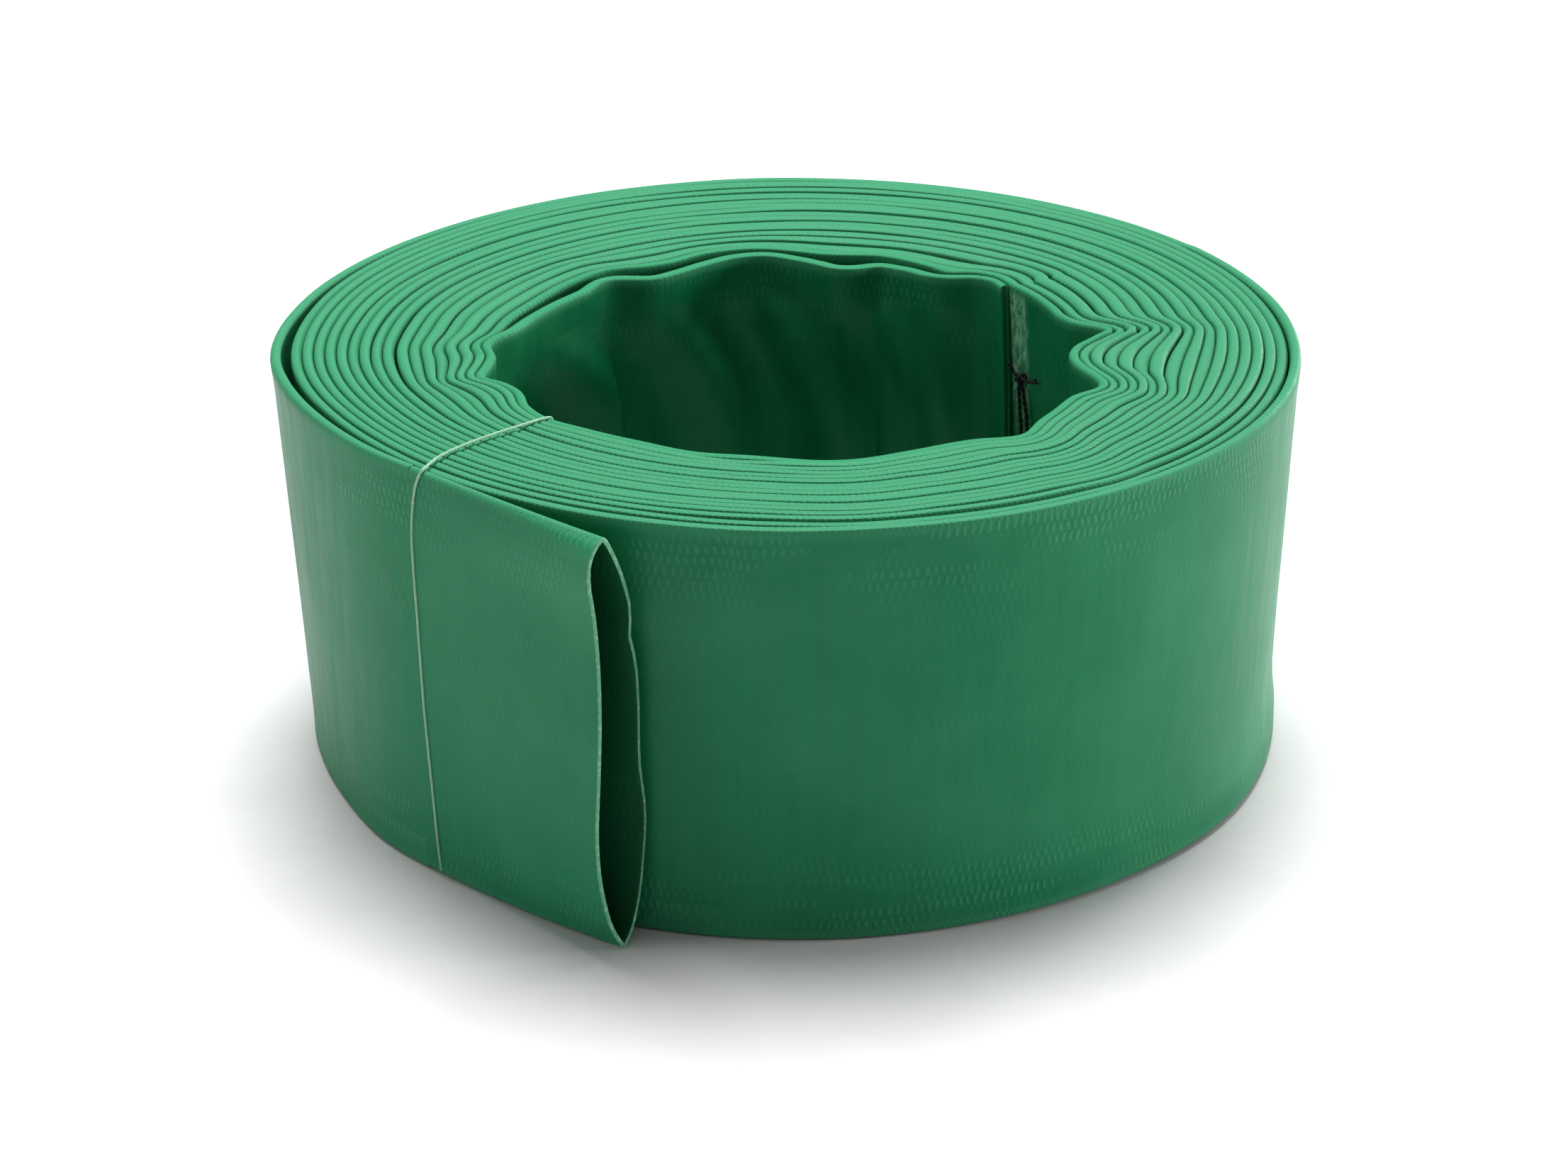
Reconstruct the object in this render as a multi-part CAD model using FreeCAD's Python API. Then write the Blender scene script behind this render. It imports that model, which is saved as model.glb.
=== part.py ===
import FreeCAD, Part

import math
import os

from FreeCAD import Vector

# A green lay-flat water hose, pressed flat and rolled up on edge, held by one turn of pale string.
# Millimetres and degrees. The roll's axis is Z, the surface it stands on is z = 0, and the loose
# tail of the hose points along +X. Seen from above the hose winds outwards counter-clockwise.

# The hose
FLAT_WIDTH = 84.0
WALL = 1.0
COVER_THICKNESS = 0.40
YARN_THICKNESS = 0.20
LINER_THICKNESS = 0.35

# The roll: four arcs to a turn, joined on the X and Y directions. Odd and even quarters have their
# own radii, so that the hole is oval and the outermost turn is nearly round.
TURNS_BEFORE_LAST_QUARTER = 17
LAST_QUARTER = 4 * TURNS_BEFORE_LAST_QUARTER + 2
HOLE_END_RADIUS = 56.0
HOLE_SIDE_RADIUS = 62.0
RIM_END_RADIUS = 101.4
RIM_SIDE_RADIUS = 101.2
SIDEWAYS_DRIFT = 0.30
HOLE_CENTRE = (7.65, -2.8)
ROLL_STARTS = 85.0
TAIL_LEAVES = 90.0 * (LAST_QUARTER + 1)

# The two ends of the hose that stay free to bend
INNER_FLAP_SWEEP = 43.0
TAIL_LENGTH = 48.0
BEND_GAP = 0.30
MOUTH_BULGE_OUT = 1.6
MOUTH_BULGE_IN = 9.0
MOUTH_NARROWING = 1.5
NEARLY_FLAT = 0.002
TAIL_PANELS = 6

# The pale string round the roll, just behind the line where the tail bends
STRING_DIAMETER = 0.9
STRING_CLEARANCE = 0.05
STRING_SETBACK = 1.0
STRING_CORNER_RADIUS = 0.6
STRING_KNOT_RADIUS = 1.6
STRING_KNOT_HEIGHT = 20.0
DENT_DEPTH = STRING_DIAMETER + 2 * STRING_CLEARANCE
DENT_OVERREACH = 10.0

# Its two loose ends: length, side, and the route from the knot as shares of the length
STRING_ENDS = {"long": (13.0, 1.0), "short": (9.0, -1.0)}
STRING_END_ROUTE = [(0.0, 0.0, 0.0), (0.30, 0.12, 0.0), (0.42, 0.20, -0.34), (0.40, 0.17, -0.72)]

# The black tie on the inner cut edge
TIE_DIAMETER = 0.8
TIE_KNOT_RADIUS = 1.3
TIE_KNOT_HEIGHT = 62.0
TIE_CLEARANCE = 0.05
TIE_LOOP_DROP = 50.0
TIE_LOOP_SPREAD = 3.2

# The tie's loose runs, as steps from its knot: past the cut edge, outwards, up
TIE_LOOP_ROUTE = [
    (-0.55, 0.0, 0.0),
    (-0.30, 0.6, -0.30 * TIE_LOOP_DROP),
    (0.0, 0.6, -TIE_LOOP_DROP),
    (TIE_LOOP_SPREAD, 0.6, -TIE_LOOP_DROP),
    (0.90 * TIE_LOOP_SPREAD, 0.6, -0.25 * TIE_LOOP_DROP),
    (0.55, 0.0, 0.0),
]
TIE_END_ROUTES = {
    "left": [(0.0, 0.0, 0.0), (-1.2, -1.6, 1.2), (-3.0, -2.2, 3.4)],
    "right": [(0.0, 0.0, 0.0), (2.2, -1.2, 0.2), (4.6, -0.8, -0.3)],
}

# A free cord's corners are as round as its shorter run allows, by this share of it
CORNER_SHARE = 0.45


def direction(degrees):
    """The unit vector in the XY plane at an angle from +X."""
    return Vector(math.cos(math.radians(degrees)), math.sin(math.radians(degrees)), 0)


def quarter_radius(quarter):
    """The radius of the hose's middle line in one quarter turn."""
    progress = quarter / LAST_QUARTER
    if quarter % 2 == 0:
        radius = HOLE_END_RADIUS + (RIM_END_RADIUS - HOLE_END_RADIUS) * progress
    else:
        radius = HOLE_SIDE_RADIUS + (RIM_SIDE_RADIUS - HOLE_SIDE_RADIUS) * progress
    if quarter % 4 == 2:
        radius -= SIDEWAYS_DRIFT
    return radius


def roll_arcs():
    """The middle line of the rolled hose as (centre, radius, start, end), each tangent to the next."""
    centre = Vector(*HOLE_CENTRE, 0)
    radius = quarter_radius(0)
    arcs = [(centre, radius, ROLL_STARTS, 90.0)]
    for quarter in range(1, LAST_QUARTER + 1):
        wider = quarter_radius(quarter)
        centre = centre - direction(90.0 * quarter) * (wider - radius)
        radius = wider
        arcs.append((centre, radius, 90.0 * quarter, 90.0 * (quarter + 1)))
    return arcs


def arcs_between(start, end):
    """The part of the roll's middle line between two angles, counted on from the first turn."""
    kept = []
    for centre, radius, first, last in roll_arcs():
        low, high = max(first, start), min(last, end)
        if high > low:
            kept.append((centre, radius, low, high))
    return kept


def point_at(angle, outwards=0.0):
    """A point of the roll's middle line, moved outwards square to it."""
    for centre, radius, first, last in roll_arcs():
        if first <= angle <= last:
            return centre + direction(angle) * (radius + outwards)
    raise ValueError(f"the hose has no point at {angle}")


def radius_at(angle):
    """The radius of the arc that holds an angle of the roll."""
    return next(radius for _, radius, first, last in roll_arcs() if first <= angle <= last)


def offset_edges(arcs, outwards):
    """One side of the rolled hose: the arcs of its middle line, all moved outwards alike."""
    edges = []
    for centre, radius, start, end in arcs:
        ends = [centre + direction(a) * (radius + outwards) for a in (start, (start + end) / 2, end)]
        edges.append(Part.Arc(*ends).toShape())
    return edges


def rolled_core(arcs, depth):
    """The rolled hose without its outermost skin of the given depth, as one solid strip."""
    half = WALL - depth
    outside = offset_edges(arcs, half)
    inside = offset_edges(arcs, -half)
    start = Part.makeLine(inside[0].Vertexes[0].Point, outside[0].Vertexes[0].Point)
    end = Part.makeLine(outside[-1].Vertexes[-1].Point, inside[-1].Vertexes[-1].Point)
    outline = Part.Wire([start] + outside + [end] + inside[::-1])
    strip = Part.Face(outline).extrude(Vector(0, 0, FLAT_WIDTH - 2 * depth))
    strip.translate(Vector(0, 0, depth))
    return strip


def string_dent(depth):
    """The groove that the string presses into the lower edges of the roll, one skin depth larger."""
    half_width = STRING_DIAMETER / 2 + 2 * STRING_CLEARANCE + depth
    across = RIM_SIDE_RADIUS - HOLE_SIDE_RADIUS + 2 * DENT_OVERREACH
    groove = Part.makeBox(2 * half_width, across, DENT_DEPTH + depth)
    groove.translate(Vector(-STRING_SETBACK - half_width, -RIM_SIDE_RADIUS - DENT_OVERREACH, 0))
    return groove


def dented_core(arcs, depth):
    return rolled_core(arcs, depth).cut(string_dent(depth))


def tail_section(x, depth):
    """The tail's outline across its length: two walls that bow apart between two folded edges.

    The walls part with the square of the distance, as the roll below curves away from the tail.
    """
    opening = NEARLY_FLAT + (1 - NEARLY_FLAT) * (x / TAIL_LENGTH) ** 2
    bulge_out = MOUTH_BULGE_OUT * opening
    bulge_in = MOUTH_BULGE_IN * opening
    narrowing = MOUTH_NARROWING * opening
    half = WALL - depth
    middle = point_at(TAIL_LEAVES).y
    low = depth + narrowing
    high = FLAT_WIDTH - depth - narrowing
    corners = [
        Vector(x, middle - half, low),
        Vector(x, middle + half, low),
        Vector(x, middle + half, high),
        Vector(x, middle - half, high),
    ]
    outer = Vector(x, middle - half - bulge_out, FLAT_WIDTH / 2)
    inner = Vector(x, middle + half + bulge_in, FLAT_WIDTH / 2)
    return Part.Wire([
        Part.makeLine(corners[0], corners[1]),
        Part.Arc(corners[1], inner, corners[2]).toShape(),
        Part.makeLine(corners[2], corners[3]),
        Part.Arc(corners[3], outer, corners[0]).toShape(),
    ])


def tail_core(depth):
    """The tail without its outermost skin: flat where it leaves the roll, open at its mouth."""
    root = BEND_GAP / 2
    spacing = (TAIL_LENGTH - root) / TAIL_PANELS
    sections = [tail_section(root + spacing * step, depth) for step in range(TAIL_PANELS + 1)]
    return Part.makeLoft(sections, True, True)


def plies(name, core):
    """The cover, yarn and liner of one stretch of hose, from core, which gives it less a skin."""
    depths = [0.0, COVER_THICKNESS, COVER_THICKNESS + YARN_THICKNESS]
    depths.append(depths[-1] + LINER_THICKNESS)
    cores = [core(depth) for depth in depths]
    return {
        f"{name}_cover": cores[0].cut(cores[1]),
        f"{name}_yarn": cores[1].cut(cores[2]),
        f"{name}_liner": cores[2].cut(cores[3]),
    }


def rounded_path(points, radii):
    """A wire of straight runs joined by tangent arcs, one radius for each point but the ends."""
    edges = []
    start = points[0]
    for before, corner, after, radius in zip(points, points[1:], points[2:], radii):
        into = (corner - before).normalize()
        out = (after - corner).normalize()
        half_turn = into.getAngle(out) / 2
        reach = radius * math.tan(half_turn)
        first = corner - into * reach
        last = corner + out * reach
        bisector = (out - into).normalize()
        middle = corner + bisector * (radius / math.cos(half_turn) - radius)
        edges.append(Part.makeLine(start, first))
        edges.append(Part.Arc(first, middle, last).toShape())
        start = last
    edges.append(Part.makeLine(start, points[-1]))
    return Part.Wire(edges)


def widest_radii(points):
    """The radius that fits each corner of a free cord's route."""
    radii = []
    for before, corner, after in zip(points, points[1:], points[2:]):
        half_turn = (corner - before).getAngle(after - corner) / 2
        shorter = min((corner - before).Length, (after - corner).Length)
        radii.append(CORNER_SHARE * shorter / math.tan(half_turn))
    return radii


def cord_tube(name, points, radii, diameter):
    """A round tube along a rounded path, with its volume checked against its section and length."""
    path = rounded_path(points, radii)
    along = (points[1] - points[0]).normalize()
    ring = Part.Wire(Part.makeCircle(diameter / 2, points[0], along))
    tube = path.makePipeShell([ring], True, True)
    expected = math.pi * diameter**2 / 4 * path.Length
    print(f"{name}: length {path.Length:.1f} mm, radii {[round(r, 1) for r in radii]}, "
          f"volume {tube.Volume / expected:.4f} of section times length")
    return tube


def hole_wall_at_string():
    """How far in front of the axis the innermost turn's wall is where the string passes it."""
    bottom = TAIL_LEAVES - 360.0 * TURNS_BEFORE_LAST_QUARTER
    centre, radius = next((arc[0], arc[1]) for arc in roll_arcs() if arc[3] == bottom)
    sideways = centre.x + STRING_SETBACK + STRING_DIAMETER / 2
    return centre.y - math.sqrt((radius - WALL) ** 2 - sideways**2)


def string_knot():
    y = hole_wall_at_string() + STRING_KNOT_RADIUS + STRING_CLEARANCE
    centre = Vector(-STRING_SETBACK, y, STRING_KNOT_HEIGHT)
    return Part.makeSphere(STRING_KNOT_RADIUS, centre), centre


def tie_string():
    """The string round the section of the roll, knotted inside the hole."""
    knot, knot_centre = string_knot()
    off = STRING_DIAMETER / 2 + STRING_CLEARANCE
    x = -STRING_SETBACK
    outside = point_at(TAIL_LEAVES, WALL).y - off
    inside = hole_wall_at_string() + off
    corners = [
        Vector(x, inside, STRING_KNOT_HEIGHT),
        Vector(x, inside, FLAT_WIDTH + off),
        Vector(x, outside, FLAT_WIDTH + off),
        Vector(x, outside, off),
        Vector(x, inside, off),
        Vector(x, inside, STRING_KNOT_HEIGHT),
    ]
    loop = cord_tube("tie_string", corners, [STRING_CORNER_RADIUS] * 4, STRING_DIAMETER)
    ends = []
    for name, (length, side) in STRING_ENDS.items():
        route = [knot_centre + Vector(side * a, b, c) * length for a, b, c in STRING_END_ROUTE]
        ends.append(cord_tube(f"string_end_{name}", route, widest_radii(route), STRING_DIAMETER))
    return {
        "tie_string": loop.cut(knot),
        "tie_string_knot": knot,
        "tie_string_ends": Part.Compound([end.cut(knot) for end in ends]),
    }


def black_tie():
    """A knotted black cord at the inner cut edge: its loop hangs down and two short ends stick out."""
    outwards = direction(ROLL_STARTS)
    past = Vector(outwards.y, -outwards.x, 0)
    beside_edge = past * (TIE_KNOT_RADIUS + TIE_CLEARANCE)
    centre = point_at(ROLL_STARTS) + beside_edge + Vector(0, 0, TIE_KNOT_HEIGHT)
    knot = Part.makeSphere(TIE_KNOT_RADIUS, centre)

    def run(name, steps):
        route = [centre + past * a + outwards * b + Vector(0, 0, c) for a, b, c in steps]
        return cord_tube(name, route, widest_radii(route), TIE_DIAMETER)

    loop = run("inner_tie_loop", TIE_LOOP_ROUTE)
    ends = [run(f"inner_tie_end_{side}", steps) for side, steps in TIE_END_ROUTES.items()]
    return {
        "inner_tie_loop": loop.cut(knot),
        "inner_tie_knot": knot,
        "inner_tie_ends": Part.Compound([end.cut(knot) for end in ends]),
    }


def hose():
    """The plies of the rolled hose, its inner flap and its tail, with gaps where the ends bend."""
    flap_bend = ROLL_STARTS + INNER_FLAP_SWEEP
    flap_gap = math.degrees(BEND_GAP / 2 / radius_at(flap_bend))
    tail_gap = math.degrees(BEND_GAP / 2 / radius_at(TAIL_LEAVES))
    roll = arcs_between(flap_bend + flap_gap, TAIL_LEAVES - tail_gap)
    flap = arcs_between(ROLL_STARTS, flap_bend - flap_gap)
    length = sum(radius * math.radians(end - start) for _, radius, start, end in roll_arcs())
    print(f"hose length {length + TAIL_LENGTH:.0f} mm")
    for label, angle, side in (("tail", TAIL_LEAVES, WALL), ("inner flap", flap_bend, -WALL)):
        print(f"{label} bends about {point_at(angle, side)}")
    nodes = plies("roll", lambda depth: dented_core(roll, depth))
    nodes.update(plies("inner_flap", lambda depth: rolled_core(flap, depth)))
    nodes.update(plies("tail", tail_core))
    return nodes


def main():
    os.makedirs("parts", exist_ok=True)
    nodes = hose()
    nodes.update(tie_string())
    nodes.update(black_tie())
    for name, shape in nodes.items():
        print(f"{name}: valid {shape.isValid()}, {len(shape.Solids)} solid, {shape.Volume:.1f} mm3, "
              f"box {shape.BoundBox}")
        shape.exportStep(f"parts/{name}.step")


main()
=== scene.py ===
import math

import bpy
import numpy as np
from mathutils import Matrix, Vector


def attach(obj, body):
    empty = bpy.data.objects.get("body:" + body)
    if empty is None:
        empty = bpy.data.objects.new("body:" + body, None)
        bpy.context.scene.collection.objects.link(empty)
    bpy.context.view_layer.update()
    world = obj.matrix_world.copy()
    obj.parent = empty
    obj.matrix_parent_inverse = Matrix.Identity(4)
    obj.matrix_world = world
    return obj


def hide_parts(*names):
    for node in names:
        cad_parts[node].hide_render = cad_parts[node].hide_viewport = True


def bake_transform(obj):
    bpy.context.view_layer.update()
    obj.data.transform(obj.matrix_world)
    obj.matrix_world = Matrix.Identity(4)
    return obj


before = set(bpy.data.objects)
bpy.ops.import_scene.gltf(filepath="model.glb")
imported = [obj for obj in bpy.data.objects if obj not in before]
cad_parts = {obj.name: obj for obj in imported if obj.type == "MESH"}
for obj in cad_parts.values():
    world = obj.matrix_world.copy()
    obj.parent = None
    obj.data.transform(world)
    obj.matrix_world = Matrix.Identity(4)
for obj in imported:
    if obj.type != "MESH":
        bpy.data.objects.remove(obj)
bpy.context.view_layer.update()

MM = 0.001

# The hose, in millimetres. Pressed flat it is two walls thick.
FLAT_WIDTH = 84.0
WALL = 0.92
CUT_RIM_BEVEL = 0.10

# Its section: height of a folded edge, points round it, the widest it may bulge to one side, and how far from
# the edge the plain wall starts
FOLD_HEIGHT = 1.25
FOLD_POINTS = 9
WIDEST_FOLD = 1.95
NECK = 6.5

# The roll is a polar curve round the Z axis. Angles are in degrees from +X, counted on turn by turn.
STATIONS_A_TURN = 240
STATION_STEP = 360.0 / STATIONS_A_TURN
STATIONS = 4209
STRING_X = -1.0
TAIL_Y = -101.9
LAST_ANGLE = 270.0 + 17 * 360.0 + math.degrees(STRING_X / abs(TAIL_Y))
FIRST_ANGLE = LAST_ANGLE - STATIONS * STATION_STEP
TURNS = STATIONS / STATIONS_A_TURN

# The radius of the innermost and outermost turn's middle line with no creases, at some angles
CALM_HOLE = [(75.9, 51.7), (105, 46.8), (133, 45.0), (160, 45.5), (185, 49.5), (210, 56.5), (235, 63.0),
             (262, 66.6), (290, 68.2), (315, 69.0), (345, 67.6), (370, 64.0), (395, 59.0), (415, 54.8),
             (435.9, 51.7)]
CALM_RIM = [(75.9, 101.8), (110, 102.0), (150, 101.9), (185, 102.0), (215, 103.4), (235, 103.9), (255, 102.3),
            (270, 101.9), (313, 101.5), (360, 101.3), (400, 101.3), (435.9, 101.8)]

# The creased rim of the innermost turn: angle, radius of its inner face, turns that take the crease over
HOLE_RIM = [
    (75.9, 50.6, 2), (81, 51.2, 2), (86, 49.3, 2), (90, 45.5, 2), (95, 43.5, 2), (104, 44.3, 2),
    (112, 44.4, 2), (117, 40.7, 2), (122, 39.2, 2), (127, 40.6, 2), (133, 43.2, 2), (141, 46.6, 2),
    (150, 46.8, 2), (160, 44.7, 2), (170, 43.0, 2), (178, 44.0, 2), (184, 49.3, 3), (197, 50.1, 3),
    (207, 52.2, 3), (216, 55.0, 3), (224, 57.6, 4), (231, 62.6, 4), (237, 62.4, 4), (242, 64.6, 4),
    (246.5, 67.2, 4), (251, 64.5, 4), (256, 64.0, 4), (262, 66.6, 3), (269, 67.9, 2), (277, 67.1, 2),
    (287, 67.1, 2), (298, 68.4, 2), (310, 69.3, 2), (322, 70.1, 2), (331, 68.1, 2), (342, 67.6, 3),
    (350, 70.4, 3), (356, 67.2, 3), (362, 65.4, 4), (368, 64.2, 5), (377, 65.6, 6), (382, 59.4, 6),
    (388, 56.0, 6), (394, 56.0, 6), (400, 59.6, 6), (404.5, 62.2, 6), (408, 56.6, 6), (412, 54.2, 5),
    (418, 53.6, 4), (426, 53.2, 3), (435.9, 52.5, 2),
]

# The second turn where the innermost one has come away from it: angle, radius of its inner face. The free
# edge of the innermost turn is puffed open from PUFFED_FROM to where the two meet again.
SECOND_RIM = [(75.9, 52.5), (81, 53.2), (86, 51.4), (90, 49.2), (95, 48.0), (104, 48.4), (112, 48.7),
              (120, 47.8), (127, 47.8), (133, 49.0), (145, 51.5), (156, 51.4), (168, 49.4), (174, 50.5),
              (181, 53.8), (194, 55.3), (208, 56.8), (216, 58.8), (224, 61.0), (231, 65.0)]
APART_UNTIL = 224.0
PUFFED_FROM = 92.0
PUFFED_FOLD = 1.38

# Slack between two turns: first and last angle of the inner one, how far apart, and how much of it is a gap
SLACK = [
    (390, 474, 1.1, 0.95), (436, 600, 0.9, 0.15), (760, 965, 0.9, 0.20), (1105, 1300, 1.4, 1.0),
    (1480, 1660, 0.5, 0.45), (1840, 2020, 0.3, 0.2), (2540, 2790, 1.1, 0.75), (3300, 3480, 0.4, 0.4),
    (4965, 5090, 0.25, 0.3), (5300, 5430, 0.3, 0.35), (5640, 5840, 0.55, 0.5),
]

# How far the last turn has sprung away from the roll, by the angle
SPRUNG = [(0, 0.0), (190, 0.0), (204, 0.5), (216, 1.0), (225, 1.6), (232, 1.8), (240, 1.3), (248, 1.1),
          (257, 0.9), (264, 0.5), (269.5, 0.0)]

# How much narrower the roll is at the floor than at its top, by the angle
LEAN = [(0, 1.2), (35, 2.2), (80, 1.0), (150, 0.6), (200, 2.0), (232, 4.2), (250, 2.4), (262, 0.5),
        (269.5, 0.0), (290, 0.3), (330, 0.8), (360, 1.2)]

# The folds are rounder, with deeper grooves between them, towards this direction and away from it. A fold of
# squareness 1 is round and one near 0 has a flat top.
SQUASHED_DIRECTION = 43.0
SQUARENESS = 0.36
MORE_AT_THE_SIDES = 0.52
SQUARENESS_WAVE = 0.10

# How far folds bulge: where nothing is beside them, towards the hole, and the innermost turn's away from it.
# Two neighbours fill a little less than the room between them.
FREE_ROOM = 2.3
BULGE_TO_HOLE = 1.15
INNERMOST_BULGE = 1.1
ROOM_FILLED = 0.985

# How unlevel the edges of the roll are
SLOW_WAVE = 0.36
SHORT_WAVE = 0.10
DROOP_AT_HOLE = 0.5
SUNK_OUTER_TURN = 0.7
RAISED_FOOT = 0.30

# Soft folds in the wall of the hole: height, how many in a full turn and start angle; and their slant, in
# degrees round the hole for each millimetre down
RIPPLES = [(3.0, 11.0, 0.0), (0.8, 6.3, 60.0)]
SLANT = 1.7

# The lower edge of the outermost turn on the right: how far it is turned out
TURNED_OUT = 1.5

# The mouth of the tail: height and Y of the outside of its near wall and its far wall, which never touch
TAIL_LENGTH = 48.0
LIPS_APART = 0.02
NEAR_LIP = [(0, -97.9), (2.5, -99.6), (6, -101.3), (11, -102.7), (17, -103.8), (25, -104.2), (37, -103.4),
            (50, -102.7), (62, -102.9), (70, -103.6), (76, -104.5), (80, -104.1), (82.6, -102.4),
            (84, -100.4)]
FAR_LIP = [(0, -97.6), (2, -95.8), (5, -94.4), (9, -93.2), (16, -92.0), (26, -91.1), (37, -92.3), (50, -92.3),
           (58, -92.9), (63, -94.1), (68, -93.8), (73, -95.0), (79, -97.3), (82.6, -99.2), (84, -100.2)]

# The slant of the cut inner end: how far its foot reaches past its top, over what depth, and the length of
# hose over which this fades
CUT_SLANT = 5.0
CUT_SLANT_DEPTH = 40.0
CUT_SLANT_FADES = 30.0

# Where the hose is divided into pieces, and how many vertices their walls have from edge to edge
FLAP_SWEEP = 160.0
FINE_START_TURNS = 1.45
FINE_END_TURNS = 1.2
FINE_ROWS = 16
HIDDEN_ROWS = 2
TAIL_ROWS = 34

# A stretch longer than this is sized as the hose pressed flat, a shorter one as its wall cut open
LONG_STRETCH = 500.0

# The cut across the pressed hose, from skin to closed bore: share of the half thickness, how far ahead
CUT_PROFILE = [(1.0, 0.0), (0.92, 0.12), (0.55, 0.14), (0.12, 0.10), (0.04, -0.6)]

# Colours of the PVC: base, deep, pale where the yarn shows, and on the folded edges, which are lighter as a
# painted highlight
LIT_FOLD_GREEN = (0.026, 0.195, 0.092, 1)
GREEN = ((0.009, 0.165, 0.070, 1), (0.005, 0.128, 0.050, 1), (0.055, 0.27, 0.138, 1), LIT_FOLD_GREEN)
# The same PVC made darker for the wall of the hole: painted shade
HOLE_GREEN_SHADED = ((0.005, 0.140, 0.052, 1), (0.002, 0.106, 0.036, 1), (0.034, 0.235, 0.110, 1), LIT_FOLD_GREEN)
# The tail's inside, much darker than the outside PVC: painted shade in the bore
LINER_GREEN_SHADED = ((0.005, 0.070, 0.026, 1), (0.003, 0.052, 0.018, 1), (0.015, 0.12, 0.05, 1),
               (0.010, 0.09, 0.038, 1))
# Paler stripe beside the cut end: partly wear, partly a painted sheen
WORN_AND_SHEEN_GREEN = (0.19, 0.43, 0.26, 1)
CUT_GREEN = (0.06, 0.27, 0.135, 1)
YARN_ENDS = (0.24, 0.44, 0.29, 1)


# --------------------------------------------------------------------------- camera and cords

def add_camera():
    data = bpy.data.cameras.new("camera")
    data.lens = 74.63
    data.sensor_width = 36.0
    camera = bpy.data.objects.new("camera", data)
    camera.location = Vector((427.3, -453.4, 311.6)) * MM
    forward = Vector((-0.6266, 0.6584, -0.4171))
    camera.rotation_euler = forward.to_track_quat("-Z", "Y").to_euler()
    bpy.context.collection.objects.link(camera)
    bpy.context.scene.camera = camera


def route_points(points):
    """The points of the smooth line that a route in millimetres gives, in metres."""
    data = bpy.data.curves.new("route", "CURVE")
    data.dimensions = "3D"
    data.resolution_u = 24
    spline = data.splines.new("NURBS")
    spline.points.add(len(points) - 1)
    for control, point in zip(spline.points, points):
        control.co = (*(c * MM for c in point), 1.0)
    spline.order_u = 3
    spline.use_endpoint_u = True
    holder = bpy.data.objects.new("route", data)
    bpy.context.collection.objects.link(holder)
    bpy.context.view_layer.update()
    line = bpy.data.meshes.new_from_object(holder)
    found = np.array([v.co for v in line.vertices], float)
    bpy.data.objects.remove(holder)
    return found


def evenly(points, spacing):
    """The same line with points at an even spacing."""
    reach = np.concatenate([[0.0], np.cumsum(np.linalg.norm(np.diff(points, axis=0), axis=1))])
    places = np.linspace(0.0, reach[-1], max(2, int(reach[-1] / spacing)))
    return np.stack([np.interp(places, reach, points[:, axis]) for axis in range(3)], axis=1)


def carried_frames(points):
    """Two directions square to the line at each point, carried along it without twisting."""
    along = np.gradient(points, axis=0)
    along /= np.linalg.norm(along, axis=1)[:, None]
    side = np.cross(along[0], (0.3, 0.5, 0.81))
    sides = []
    for direction in along:
        side = side - direction * side.dot(direction)
        side /= np.linalg.norm(side)
        sides.append(side)
    sides = np.array(sides)
    return sides, np.cross(along, sides)


def ring_tube(points, radii, sides=7):
    """A round tube along a line, closed at both ends, as vertices and faces."""
    across, up = carried_frames(points)
    angles = np.arange(sides) * 2 * np.pi / sides
    ring = np.cos(angles)[None, :, None] * across[:, None, :] + np.sin(angles)[None, :, None] * up[:, None, :]
    verts = (points[:, None, :] + ring * radii[:, None, None]).reshape(-1, 3)
    faces = []
    for k in range(len(points) - 1):
        for s in range(sides):
            a, b = k * sides + s, k * sides + (s + 1) % sides
            faces.append((a, b, b + sides, a + sides))
    last = (len(points) - 1) * sides
    faces.append(tuple(range(sides))[::-1])
    faces.append(tuple(range(last, last + sides)))
    return verts, faces


def mesh_from_parts(name, parts, material):
    """One smooth object from several (vertices, faces)."""
    verts, faces = [], []
    for part_verts, part_faces in parts:
        shift = len(verts)
        verts.extend(map(tuple, part_verts))
        faces.extend(tuple(shift + i for i in face) for face in part_faces)
    mesh = bpy.data.meshes.new(name)
    mesh.from_pydata(verts, [], faces)
    mesh.shade_smooth()
    mesh.materials.append(material)
    thing = bpy.data.objects.new(name, mesh)
    bpy.context.collection.objects.link(thing)
    return thing


def twisted_strands(line, diameter, strands, lay_length, spacing, fray=0.0):
    """The strands of a laid cord round a line, as (vertices, faces) of each."""
    points = evenly(line, spacing)
    across, up = carried_frames(points)
    reach = np.arange(len(points)) * spacing
    strand_radius = diameter / (2 + 2 / math.sin(math.pi / strands)) * 1.08
    centre_radius = diameter / 2 - strand_radius
    opened = 1 + fray * np.clip((reach - reach[-1] + 3 * diameter) / (3 * diameter), 0, 1) ** 2
    parts = []
    for k in range(strands):
        turn = 2 * np.pi * (reach / lay_length + k / strands)
        swing = centre_radius * opened
        path = points + across * (np.cos(turn) * swing)[:, None] + up * (np.sin(turn) * swing)[:, None]
        uneven = 1 + 0.07 * np.sin(reach / diameter * 1.7 + 2 * k)
        parts.append(ring_tube(path, strand_radius * uneven))
    return points, parts


def overhand_knot(centre, size, diameter):
    """A pulled-tight knot: one strand that passes round itself."""
    t = np.linspace(0, 2 * np.pi, 90)
    path = np.stack([
        np.sin(t) + 2 * np.sin(2 * t),
        0.75 * np.cos(t) - 1.5 * np.cos(2 * t),
        -1.25 * np.sin(3 * t),
    ], axis=1)
    path = np.array(centre) * MM + path * size / 3 * MM
    return ring_tube(path, np.full(len(path), diameter / 2 * MM), sides=9)


# In diameters of the cord: the length in which its strands go once round, and the spacing of its rings
LAY_LENGTH = 3.2
RING_SPACING = 0.28
FRAYED = 1.4

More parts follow.
